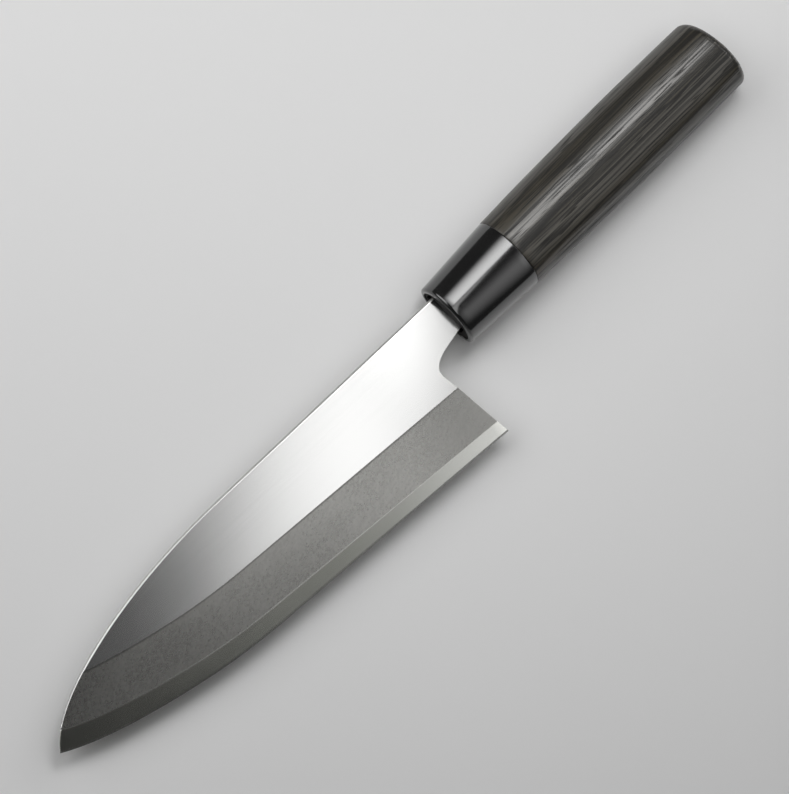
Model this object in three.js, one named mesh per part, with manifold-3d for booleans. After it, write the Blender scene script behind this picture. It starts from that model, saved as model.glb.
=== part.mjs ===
// A single-bevel kitchen knife with a laminated blade and a D-section handle.
// Millimetres, +Z up. The knife lies on its flat side: tip to -X, butt to +X, spine to +Y, edge to -Y.
// While it is modelled, X = 0 is the mouth of the ferrule, Y = 0 the line that heights are measured from
// and Z = 0 the handle's middle plane.

import * as THREE from 'three';
import { mergeVertices } from 'three/addons/utils/BufferGeometryUtils.js';
import Module from 'manifold-3d';

// Handle and ferrule
const handleLength = 131.7;
const ferruleLength = 30.7;
const ferruleWall = 1.8;
const ferruleRim = 1;
const mouthHeight = 24.1;
const mouthThickness = 17.5;
const jointHeight = 27.4;
const jointThickness = 19;
const swellFromButt = 35;
const swellHeight = 29.4;
const swellThickness = 20.5;
const buttHeight = 28.8;
const buttThickness = 20;
const buttRound = 3.2;

// How far the middle of each section lies below Y = 0
const mouthDrop = 0.95;
const jointDrop = 0.5;
const swellDrop = 0.2;
const buttDrop = 0.2;

// How far the D-section's ridge stands above the underside of each section, how far below the crown it lies,
// and how far behind the middle the section is tallest
const mouthRidge = 3.8;
const jointRidge = 4;
const swellRidge = 4.7;
const buttRidge = 5;
const ridgeSetBack = 2.4;
const tallestSetBack = 1.8;

// Blade outline
const bladeLength = 181;
const heelToMouth = 11.3;
const heelDepth = 42.4;
const heelLean = 0.14;
const edgeRise = 0.0757;
const bellyLength = 68;
const bellyStartSlope = 0.175;
const bellyTipSlope = 0.57;
const tipDrop = 14.4;
const spineRise = 0.0168;
const spineCurveLength = 93;
const spineCurveHold = 38.8;
const spineTipHold = 18.9;
const spineTipAngle = 56;

// Blade thickness, bevels and the hollow in the back
const neckThickness = 4;
const tipThickness = 2.6;
const bevelWidth = 21.8;
const edgeSteelThickness = 1.05;
const edgeLand = 0.06;
const microBevelWidth = 0.6;
const microBevelHeight = 0.25;
const spineEase = 0.4;
const easeFadeLength = 20;
const hollowDepth = 0.4;
const hollowFromHeel = 5;
const hollowFromTip = 25;
const hollowRim = 4.5;

// Neck and tang
const neckBelowMouthTop = 2.5;
const neckAboveMouthBottom = 4.25;
const neckFall = 0.2;
const choilOnNeck = 8;
const choilOnHeel = 4.5;
const neckInsert = 4;
const edgeSteelShort = 1.5;
const tangLength = 84;
const tangWidth = 9;
const tangEndWidth = 5;
const tangEndThickness = 2.4;
const bladeSetBack = 0.8;

// Resin and fits
const resinSetBack = 0.3;
const resinBehindNeck = 2;
const resinBed = 0.9;
const slotEndGap = 1.2;
const glueGap = 0.15;

// Facets, and how far a cutter runs past what it cuts
const curveSteps = 20;
const roundSteps = 5;
const gripSteps = 8;
const hollowSides = 40;
const hollowRings = 5;
const overrun = 3;

const wasm = await Module();
wasm.setup();

// Places that follow from the sizes
const heelX = -heelToMouth;
const tipX = heelX - bladeLength;
const bellyX = tipX + bellyLength;
const tangEndX = neckInsert + tangLength;
const resinPlugEnd = neckInsert + resinBehindNeck;
const swellX = handleLength - swellFromButt;
const tip = new THREE.Vector2(tipX, -tipDrop);
const heel = new THREE.Vector2(heelX, -heelDepth);
const belly = new THREE.Vector2(bellyX, edgeHeight(bellyX));
const tangAxis = (spineHeight(neckInsert) + neckUnderside(neckInsert)) / 2;
const bladeBack = -neckThickness / 2 - bladeSetBack;

// The sections that ferrule and grip are drawn through
const mouthSection = { height: mouthHeight, thickness: mouthThickness, drop: mouthDrop, ridge: mouthRidge };
const jointSection = { height: jointHeight, thickness: jointThickness, drop: jointDrop, ridge: jointRidge };
const swellSection = { height: swellHeight, thickness: swellThickness, drop: swellDrop, ridge: swellRidge };
const buttSection = { height: buttHeight, thickness: buttThickness, drop: buttDrop, ridge: buttRidge };

// The long straight lines of the blade's outline.
function spineHeight(x) {
  return mouthHeight / 2 - mouthDrop - ferruleWall - neckBelowMouthTop - spineRise * x;
}

function neckUnderside(x) {
  return ferruleWall + neckAboveMouthBottom - mouthHeight / 2 - mouthDrop + neckFall * x;
}

function edgeHeight(x) {
  return edgeRise * (heelX - x) - heelDepth;
}

function heelLine(y) {
  return heelX - heelLean * (y + heelDepth);
}

// Turns a closed geometry into a solid that can be joined and cut.
function solid(geometry) {
  const bare = geometry.clone();
  bare.deleteAttribute('normal');
  bare.deleteAttribute('uv');
  const merged = mergeVertices(bare);
  const corners = [];
  for (let k = 0; k < merged.index.count; k += 3) {
    const [a, b, c] = [0, 1, 2].map((side) => merged.index.getX(k + side));
    if (a !== b && b !== c && c !== a) corners.push(a, b, c);
  }
  const points = merged.attributes.position;
  const triVerts = new Uint32Array(enclosedVolume(points, corners) < 0 ? corners.reverse() : corners);
  const vertProperties = new Float32Array(points.array);
  return new wasm.Manifold(new wasm.Mesh({ numProp: 3, vertProperties, triVerts }));
}

// Six times the volume inside a closed mesh: negative where its faces point inward.
function enclosedVolume(points, corners) {
  const corner = (k) => new THREE.Vector3().fromBufferAttribute(points, corners[k]);
  let volume = 0;
  for (let k = 0; k < corners.length; k += 3) {
    volume += corner(k).dot(corner(k + 1).cross(corner(k + 2)));
  }
  return volume;
}

// Turns a finished solid into a named mesh.
function piece(name, body, colour, roughness, metalness) {
  const cut = body.getMesh();
  const geometry = new THREE.BufferGeometry();
  geometry.setAttribute('position', new THREE.BufferAttribute(new Float32Array(cut.vertProperties), 3));
  geometry.setIndex(new THREE.BufferAttribute(new Uint32Array(cut.triVerts), 1));
  geometry.computeVertexNormals();
  const material = new THREE.MeshStandardMaterial({ color: colour, roughness, metalness });
  const mesh = new THREE.Mesh(geometry, material);
  mesh.name = name;
  return mesh;
}

// Skins a row of stations. Each holds a flat outline with the same number of points, and a function that
// places it.
function loft(stations) {
  const count = stations[0].outline.length;
  const points = stations.flatMap(({ outline, place }) => outline.map(place));
  const index = [];
  for (let row = 0; row + 1 < stations.length; row += 1) {
    for (let k = 0; k < count; k += 1) {
      const here = row * count + k;
      const next = row * count + (k + 1) % count;
      index.push(here, next, next + count, here, next + count, here + count);
    }
  }
  const last = (stations.length - 1) * count;
  const frontCap = THREE.ShapeUtils.triangulateShape(stations[0].outline, []);
  const backCap = THREE.ShapeUtils.triangulateShape(stations[stations.length - 1].outline, []);
  const turned = THREE.ShapeUtils.isClockWise(stations[0].outline);
  frontCap.forEach(([a, b, c]) => index.push(...(turned ? [a, b, c] : [a, c, b])));
  backCap.forEach(([a, b, c]) => index.push(...(turned ? [a, c, b] : [a, b, c]).map((k) => k + last)));
  const geometry = new THREE.BufferGeometry().setFromPoints(points);
  geometry.setIndex(index);
  return solid(geometry);
}

// A straight-sided solid between two corners.
function block(low, high) {
  const size = new THREE.Vector3().subVectors(high, low);
  const middle = new THREE.Vector3().addVectors(high, low).divideScalar(2);
  return solid(new THREE.BoxGeometry(size.x, size.y, size.z).translate(middle.x, middle.y, middle.z));
}

// A flat outline in X and Y made into a plate between two heights.
function plate(outline, low, high) {
  const settings = { depth: high - low, bevelEnabled: false, curveSegments: curveSteps };
  return solid(new THREE.ExtrudeGeometry(outline, settings).translate(0, 0, low));
}

// The D-section as points in Y and Z: oval at the back and top, and a ridge low on the front.
function handleSection(height, thickness, ridgeRise) {
  const half = height / 2;
  const front = thickness / 2;
  const tallest = -tallestSetBack;
  const ridge = new THREE.Vector2(ridgeRise - half, front - ridgeSetBack);
  const foot = new THREE.Vector2(-half, tallest);
  const shape = new THREE.Shape();
  shape.moveTo(half, tallest);
  shape.absellipse(0, tallest, half, front - tallest, 0, Math.PI / 2, false);
  shape.quadraticCurveTo(ridge.x / 2, front, ridge.x, ridge.y);
  shape.quadraticCurveTo(-half, ridge.y - ridgeRise, foot.x, foot.y);
  shape.absellipse(0, tallest, half, front + tallest, Math.PI, 2 * Math.PI, false);
  const points = shape.getPoints(2 * roundSteps);
  return points.filter((point, k) => k === 0 || point.distanceTo(points[k - 1]) > 1e-6).slice(0, -1);
}

// A station of the handle: its section at a distance along it, lowered and drawn in on every side.
function handleStation(x, section, drawnIn) {
  const { height, thickness, drop, ridge } = section;
  const outline = handleSection(height - 2 * drawnIn, thickness - 2 * drawnIn, ridge);
  return { outline, place: (point) => new THREE.Vector3(x, point.x - drop, point.y) };
}

// The straight oval that the ferrule's bore, the handle's tenon and the resin plug share.
function mouthCore(startX, endX, drawnIn) {
  const inset = ferruleWall + drawnIn;
  return loft([startX, endX].map((x) => handleStation(x, mouthSection, inset)));
}

// A size of the wooden grip: it swells from the ferrule and draws in again to the butt.
function gripSize(x, size) {
  const before = x < swellX;
  const far = before ? ferruleLength : handleLength;
  const farSection = before ? jointSection : buttSection;
  const away = (swellX - x) / (swellX - far);
  return swellSection[size] - (swellSection[size] - farSection[size]) * away ** 2;
}

function gripStation(x, drawnIn) {
  const section = {};
  Object.keys(swellSection).forEach((size) => {
    section[size] = gripSize(x, size);
  });
  return handleStation(x, section, drawnIn);
}

// Room for the tang in the handle: the tang's own tapered strip, grown by a margin on every side.
function tangRoom(startX, margin) {
  const endX = tangEndX + margin;
  const halfAt = (x) => {
    const along = (x - neckInsert) / tangLength;
    return THREE.MathUtils.lerp(tangWidth, tangEndWidth, along) / 2 + margin;
  };
  const outline = new THREE.Shape();
  outline.moveTo(startX, tangAxis - halfAt(startX));
  outline.lineTo(endX, tangAxis - halfAt(endX));
  outline.lineTo(endX, tangAxis + halfAt(endX));
  outline.lineTo(startX, tangAxis + halfAt(startX));
  return plate(outline, bladeBack - margin, bladeBack + neckThickness + margin);
}

// The wooden grip with its tenon and the slot that was burnt and cut for the tang.
function makeHandle() {
  const start = ferruleLength;
  const end = handleLength - buttRound;
  const stations = [];
  for (let k = 0; k < gripSteps; k += 1) {
    stations.push(gripStation(THREE.MathUtils.lerp(start, end, k / gripSteps), 0));
  }
  for (let k = 0; k <= roundSteps; k += 1) {
    const turn = Math.PI / 2 * k / roundSteps;
    stations.push(gripStation(end + buttRound * Math.sin(turn), buttRound * (1 - Math.cos(turn))));
  }
  const tenon = mouthCore(resinPlugEnd, ferruleLength + overrun, glueGap);
  const body = loft(stations).add(tenon).subtract(tangRoom(resinPlugEnd - overrun, resinBed));
  return piece('handle', body, 0x45403c, 0.5, 0);
}

// The collar: a tapered D-section sleeve with a rounded front rim.
function makeFerrule() {
  const stations = [];
  for (let k = 0; k <= roundSteps; k += 1) {
    const turn = Math.PI / 2 * (1 - k / roundSteps);
    const x = ferruleRim * (1 - Math.sin(turn));
    const drawnIn = ferruleRim * (1 - Math.cos(turn));
    stations.push(handleStation(x, mouthSection, drawnIn));
  }
  stations.push(handleStation(ferruleLength, jointSection, 0));
  const body = loft(stations).subtract(mouthCore(-overrun, ferruleLength + overrun, 0));
  return piece('ferrule', body, 0x141414, 0.15, 0);
}

// The resin that beds the tang and closes the mouth. The tang's own shape is left free, and so is a slot for
// the neck, a little longer than the neck is tall.
function makeResin() {
  const plug = mouthCore(resinSetBack, resinPlugEnd, glueGap);
  const bed = tangRoom(resinPlugEnd - overrun / 2, resinBed - glueGap);
  const low = new THREE.Vector3(-overrun, neckUnderside(resinSetBack) - slotEndGap, bladeBack);
  const high = new THREE.Vector3(neckInsert, spineHeight(resinSetBack) + slotEndGap, bladeBack + neckThickness);
  const slot = block(low.subScalar(glueGap), high.addScalar(glueGap));
  const body = plug.add(bed).subtract(slot).subtract(tangRoom(0, glueGap));
  return piece('tang_resin', body, 0x1a1918, 0.6, 0);
}

// Thickness of the blade, from the full stock at the heel to the thin tip.
function thicknessAt(x) {
  const fromHeel = Math.max(heelX - x, 0);
  return neckThickness - (neckThickness - tipThickness) * fromHeel / bladeLength;
}

// The curved part of the spine, from the straight back to the tip.
function spineCurve() {
  const startX = tipX + spineCurveLength;
  const start = new THREE.Vector2(startX, spineHeight(startX));
  const leave = new THREE.Vector2(startX - spineCurveHold, spineHeight(startX - spineCurveHold));
  const angle = THREE.MathUtils.degToRad(spineTipAngle);
  const arrive = new THREE.Vector2(Math.cos(angle), Math.sin(angle)).multiplyScalar(spineTipHold).add(tip);
  return new THREE.CubicBezierCurve(start, leave, arrive, tip);
}

// The belly of the edge, from the tip back to the straight stretch.
function bellyCurve() {
  const fall = tip.y - belly.y - bellyStartSlope * bellyLength;
  const reach = fall / (bellyTipSlope - bellyStartSlope);
  const control = new THREE.Vector2(tip.x + reach, tip.y - bellyTipSlope * reach);
  return new THREE.QuadraticBezierCurve(tip, control, belly);
}

// The fillet where the heel turns up into the underside of the neck.
function choilCurve() {
  const cornerY = (neckUnderside(heelX) - neckFall * heelLean * heelDepth) / (1 + neckFall * heelLean);
  const corner = new THREE.Vector2(heelLine(cornerY), cornerY);
  const onHeel = new THREE.Vector2(heelLean, -1).setLength(choilOnHeel).add(corner);
  const onNeck = new THREE.Vector2(1, neckFall).setLength(choilOnNeck).add(corner);
  return new THREE.QuadraticBezierCurve(onHeel, corner, onNeck);
}

// Blade, neck and tang seen from the front.
function bladeOutline() {
  const spine = spineCurve();
  const edge = bellyCurve();
  const choil = choilCurve();
  const outline = new THREE.Shape();
  outline.moveTo(neckInsert, spineHeight(neckInsert));
  outline.lineTo(spine.v0.x, spine.v0.y);
  outline.bezierCurveTo(spine.v1.x, spine.v1.y, spine.v2.x, spine.v2.y, tip.x, tip.y);
  outline.quadraticCurveTo(edge.v1.x, edge.v1.y, belly.x, belly.y);
  outline.lineTo(heel.x, heel.y);
  outline.lineTo(choil.v0.x, choil.v0.y);
  outline.quadraticCurveTo(choil.v1.x, choil.v1.y, choil.v2.x, choil.v2.y);
  outline.lineTo(neckInsert, neckUnderside(neckInsert));
  outline.lineTo(neckInsert, tangAxis - tangWidth / 2);
  outline.lineTo(tangEndX, tangAxis - tangEndWidth / 2);
  outline.lineTo(tangEndX, tangAxis + tangEndWidth / 2);
  outline.lineTo(neckInsert, tangAxis + tangWidth / 2);
  return outline;
}

// Blade, neck and tang seen along Y: the taper of the stock to the tip and to the tang's end.
function taperedStock() {
  const profile = new THREE.Shape();
  profile.moveTo(tipX - overrun, 0);
  profile.lineTo(tangEndX, 0);
  profile.lineTo(tangEndX, tangEndThickness);
  profile.lineTo(neckInsert, neckThickness);
  profile.lineTo(heelX, neckThickness);
  profile.lineTo(tipX - overrun, thicknessAt(tipX - overrun));
  const depth = 2 * (heelDepth + overrun);
  const settings = { depth, bevelEnabled: false };
  return solid(new THREE.ExtrudeGeometry(profile, settings).translate(0, 0, -depth / 2).rotateX(Math.PI / 2));
}

// A cutter along a path that keeps the blade on its left. section gives its outline at each place, in
// millimetres into the blade and in height.
function cutterAlong(path, section) {
  return loft(path.map((place, k) => {
    const before = path[Math.max(k - 1, 0)];
    const after = path[Math.min(k + 1, path.length - 1)];
    const along = after.clone().sub(before).normalize();
    const inward = new THREE.Vector2(-along.y, along.x);
    const outline = section(place, inward).map(([reach, height]) => new THREE.Vector2(reach, height));
    const put = ({ x, y }) => new THREE.Vector3(place.x + inward.x * x, place.y + inward.y * x, y);
    return { outline, place: put };
  }));
}

// The wide bevel with the small one at its foot, cut along the edge and past both of its ends.
function bevelCutter() {
  const curve = bellyCurve().getPoints(curveSteps);
  const offTip = curve[0].clone().sub(curve[1]).setLength(3 * overrun).add(tip);
  const offHeel = heel.clone().sub(belly).setLength(overrun).add(heel);
  const foot = edgeLand + microBevelHeight;
  const high = neckThickness + overrun;
  return cutterAlong([offTip, ...curve, heel, offHeel], (place, inward) => {
    const top = thicknessAt(place.x + inward.x * bevelWidth);
    const slope = (top - foot) / (bevelWidth - microBevelWidth);
    return [
      [-overrun, edgeLand - overrun * microBevelHeight / microBevelWidth],
      [microBevelWidth, foot],
      [bevelWidth + overrun, top + overrun * slope],
      [bevelWidth + overrun, high],
      [-overrun, high],
    ];
  });
}

// The two eased corners of the spine, which fade out toward the tip.
function spineCutters() {
  const start = new THREE.Vector2(neckInsert + overrun, spineHeight(neckInsert + overrun));
  const fadeX = tipX + hollowFromTip;
  const path = [start, ...spineCurve().getPoints(curveSteps)].filter((place) => place.x > fadeX);
  const easeAt = (place) => spineEase * Math.min((place.x - fadeX) / easeFadeLength, 1);
  const front = cutterAlong(path, (place) => {
    const ease = easeAt(place);
    const top = thicknessAt(place.x);
    return [[-overrun, top - ease - overrun], [ease + overrun, top + overrun], [-overrun, top + overrun]];
  });
  const back = cutterAlong(path, (place) => {
    const ease = easeAt(place);
    return [[-overrun, -overrun], [ease + overrun, -overrun], [-overrun, ease + overrun]];
  });
  return front.add(back);
}

// The shallow hollow ground into the back, inside a flat rim.
function hollowCutter() {
  const length = bladeLength - hollowFromHeel - hollowFromTip;
  const middleX = heelX - hollowFromHeel - length / 2;
  const middleY = (spineHeight(middleX) + edgeHeight(middleX)) / 2;
  const width = spineHeight(middleX) - edgeHeight(middleX) - 2 * hollowRim;
  const profile = [];
  for (let k = 0; k <= hollowRings; k += 1) {
    const out = k / hollowRings;
    profile.push(new THREE.Vector2(out, hollowDepth * (1 - out ** 2)));
  }
  profile.push(new THREE.Vector2(1, -overrun), new THREE.Vector2(0, -overrun));
  const dish = new THREE.LatheGeometry(profile, hollowSides).rotateX(Math.PI / 2);
  const lean = -Math.atan((spineRise + edgeRise) / 2);
  const spread = dish.scale(length / 2, width / 2, 1);
  return solid(spread.rotateZ(lean).translate(middleX, middleY, 0));
}

// The whole blade before it is parted into its two layers, with its back at Z = 0.
function makeBlade() {
  const outlined = plate(bladeOutline(), -overrun, neckThickness + overrun);
  const ground = outlined.intersect(taperedStock()).subtract(bevelCutter());
  return ground.subtract(spineCutters()).subtract(hollowCutter());
}

// The two layers of the blade: hard steel at the back and edge, soft steel over it and in the tang.
function makeBladeLayers() {
  const blade = makeBlade();
  const low = new THREE.Vector3(tipX - overrun, -heelDepth - overrun, -overrun);
  const high = new THREE.Vector3(neckInsert - edgeSteelShort, heelDepth + overrun, edgeSteelThickness);
  const layer = block(low, high);
  const cladding = piece('blade_cladding', blade.subtract(layer), 0xa9abac, 0.35, 1);
  const edgeSteel = piece('edge_steel', blade.intersect(layer), 0xd4d6d8, 0.2, 1);
  const layers = new THREE.Group();
  layers.add(cladding, edgeSteel);
  layers.position.z = bladeBack;
  return layers;
}

// The knife, set with its lowest side on Z = 0 and its box centred over the origin.
const knife = new THREE.Group();
knife.add(makeBladeLayers(), makeFerrule(), makeHandle(), makeResin());
knife.updateMatrixWorld(true);
const extent = new THREE.Box3().setFromObject(knife);
const centre = extent.getCenter(new THREE.Vector3());
knife.position.set(-centre.x, -centre.y, -extent.min.z);

export default knife;
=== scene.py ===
import math

import bpy
import numpy as np
from mathutils import Matrix, Vector
from mathutils.geometry import delaunay_2d_cdt


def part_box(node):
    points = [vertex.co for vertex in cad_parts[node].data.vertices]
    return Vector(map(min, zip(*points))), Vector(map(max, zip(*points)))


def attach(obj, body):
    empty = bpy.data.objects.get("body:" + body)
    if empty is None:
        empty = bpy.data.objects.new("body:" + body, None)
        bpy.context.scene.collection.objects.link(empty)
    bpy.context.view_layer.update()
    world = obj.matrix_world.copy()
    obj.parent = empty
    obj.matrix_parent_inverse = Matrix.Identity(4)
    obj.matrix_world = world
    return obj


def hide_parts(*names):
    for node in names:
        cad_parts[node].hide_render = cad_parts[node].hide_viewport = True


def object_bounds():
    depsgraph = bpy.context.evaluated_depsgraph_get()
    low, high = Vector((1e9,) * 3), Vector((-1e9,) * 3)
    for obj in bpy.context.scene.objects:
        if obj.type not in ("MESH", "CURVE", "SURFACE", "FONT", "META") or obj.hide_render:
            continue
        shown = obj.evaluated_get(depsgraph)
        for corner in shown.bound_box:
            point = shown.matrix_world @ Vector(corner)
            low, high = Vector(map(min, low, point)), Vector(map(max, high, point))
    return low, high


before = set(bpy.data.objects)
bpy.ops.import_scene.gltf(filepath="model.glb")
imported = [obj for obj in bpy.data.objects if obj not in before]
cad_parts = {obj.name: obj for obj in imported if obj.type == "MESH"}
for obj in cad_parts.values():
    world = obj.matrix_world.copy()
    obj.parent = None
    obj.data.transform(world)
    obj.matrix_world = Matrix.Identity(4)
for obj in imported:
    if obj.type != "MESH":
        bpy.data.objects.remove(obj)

bl_info = {
    "name": "Kitchen knife",
    "version": (1, 0, 0),
    "blender": (4, 5, 0),
    "location": "3D View > Sidebar > Knife",
    "description": "Builds a single-bevel kitchen knife with a D-section handle, and the studio it lies in",
    "category": "Add Mesh",
}

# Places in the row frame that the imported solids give
CAD_LOW, CAD_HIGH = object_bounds()
FERRULE_LOW, FERRULE_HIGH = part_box("ferrule")
HANDLE_LOW, HANDLE_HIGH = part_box("handle")
EDGE_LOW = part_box("edge_steel")[0]
MM = 0.001
SWELL_DROP = 0.2 * MM
HANDLE_MIDDLE = (HANDLE_LOW + HANDLE_HIGH) / 2
MOUTH = Vector((FERRULE_LOW.x, HANDLE_MIDDLE.y + SWELL_DROP, HANDLE_MIDDLE.z))
BLADE_BACK = EDGE_LOW.z - MOUTH.z

# How much a line of the blade bows, and the turn from which an edge of the handle is sharp
LINE_BOW = 0.02 * MM
SHARP_TURN = math.radians(32)

# Floor, lamps and picture
FLOOR_HALF = 6.0
FLOOR_GAP = 0.05 * MM
LAMP_HEIGHT = 0.7
NEAR_LAMP_HEIGHT = 0.25
PICTURE_WIDTH = 789
PICTURE_HEIGHT = 794
SENSOR_WIDTH = 36.0

# Attribute of the blade's layers: distance from the edge, as a share of the part of the bevel in that layer
FROM_EDGE = "from_edge"


# Settings


def length(name, description, default):
    """A size in metres."""
    return bpy.props.FloatProperty(
        name=name, description=description, default=default, min=0.0, precision=5, unit="LENGTH"
    )


def share(name, description, default):
    """A plain number without a unit."""
    return bpy.props.FloatProperty(
        name=name, description=description, default=default, min=0.0, subtype="FACTOR"
    )


def angle(name, description, degrees):
    """A turn, written in degrees."""
    return bpy.props.FloatProperty(
        name=name, description=description, default=math.radians(degrees), subtype="ANGLE"
    )


def colour(name, description, default):
    """A colour in linear light."""
    return bpy.props.FloatVectorProperty(
        name=name, description=description, default=default, size=3, min=0.0, max=1.0, subtype="COLOR"
    )


class BladeSettings(bpy.types.PropertyGroup):
    """Sizes and finishes of the blade."""

    blade_length: length("Blade length", "From the heel to the tip", 181 * MM)
    heel_to_mouth: length("Neck", "From the heel to the mouth of the ferrule", 11.3 * MM)
    heel_depth: length("Heel depth", "From the handle's axis down to the heel", 42.4 * MM)
    heel_lean: share("Heel lean", "How far the heel leans over for each unit of its height", 0.14)
    edge_rise: share("Edge rise", "How far the straight edge rises for each unit toward the tip", 0.0757)
    belly_length: length("Belly", "Length of the curved part of the edge", 68 * MM)
    belly_start_slope: share("Belly start", "Slope of the edge where its curve begins", 0.175)
    belly_blend: length("Belly blend", "Reach of the rounding where the curve of the edge begins", 14 * MM)
    belly_tip_slope: share("Belly end", "Slope of the edge at the tip", 0.57)
    tip_drop: length("Tip drop", "From the handle's axis down to the tip", 14.4 * MM)
    spine_above_axis: length("Spine height", "From the handle's axis up to the spine at the mouth", 6.8 * MM)
    spine_rise: share("Spine rise", "How far the spine rises for each unit toward the tip", 0.0168)
    spine_curve: length("Spine curve", "Length of the curved part of the spine", 93 * MM)
    spine_leave: length("Spine hold", "Pull of the straight spine on its curve", 38.8 * MM)
    spine_arrive: length("Tip hold", "Pull of the tip on the curve of the spine", 18.9 * MM)
    spine_tip_angle: angle("Tip angle", "Angle at which the spine comes down to the tip", 56)
    neck_below_axis: length("Neck depth", "From the handle's axis down to the neck's underside", 6.95 * MM)
    neck_fall: share("Neck fall", "How far the neck deepens for each unit away from the mouth", 0.2)
    choil_on_neck: length("Notch on the neck", "Reach of the notch's fillet along the neck", 8 * MM)
    choil_on_heel: length("Notch on the heel", "Reach of the notch's fillet down the heel", 4.5 * MM)
    neck_insert: length("Neck insert", "How far the hard layer of the neck goes into the ferrule", 2.5 * MM)
    neck_end: length("Neck end", "How far the full neck goes into the ferrule", 4 * MM)
    tang_length: length("Tang length", "From the end of the neck to the end of the tang", 84 * MM)
    tang_width: length("Tang width", "Width of the tang where it leaves the neck", 9 * MM)
    tang_end_width: length("Tang end width", "Width of the tang at its end", 5 * MM)
    tang_end_thickness: length("Tang end thickness", "Thickness of the tang at its end", 2.4 * MM)
    neck_thickness: length("Neck thickness", "Thickness of the blade at the heel", 4 * MM)
    tip_thickness: length("Tip thickness", "Thickness of the blade's stock at the tip", 2.6 * MM)
    bevel_width: length("Bevel width", "Width of the wide bevel", 21.8 * MM)
    micro_width: length("Small bevel width", "Width of the small bevel at the very edge", 0.6 * MM)
    micro_height: length("Small bevel height", "Height of the small bevel at the very edge", 0.25 * MM)
    edge_land: length("Edge land", "Thickness left at the edge itself", 0.06 * MM)
    layer_thickness: length("Hard layer", "Thickness of the hard steel layer", 1.05 * MM)
    spine_ease: length("Spine ease", "Radius of the eased corners of the spine", 0.8 * MM)
    heel_ease: length("Heel ease", "Radius of the eased corners of heel and neck", 0.25 * MM)
    hollow_depth: length("Hollow depth", "Depth of the hollow in the back", 0.4 * MM)
    hollow_from_heel: length("Hollow from heel", "Where the hollow begins", 5 * MM)
    hollow_from_tip: length("Hollow from tip", "Where the hollow ends", 25 * MM)
    hollow_rim: length("Hollow rim", "Width of the flat rim beside the hollow", 4.5 * MM)
    satin_colour: colour("Flat", "Steel of the satin flat", (0.56, 0.56, 0.555))
    matt_colour: colour("Bevel", "Steel of the matt bevel", (0.576, 0.57, 0.546))
    bright_colour: colour("Edge", "Steel of the polished edge", (0.505, 0.51, 0.465))
    # Painted highlight in part: the rim's steel is lighter than the flat's, to show a light line along the
    # spine.
    rim_colour_with_highlight: colour("Rim", "Steel of the rubbed spine and heel", (0.62, 0.62, 0.61))


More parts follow.
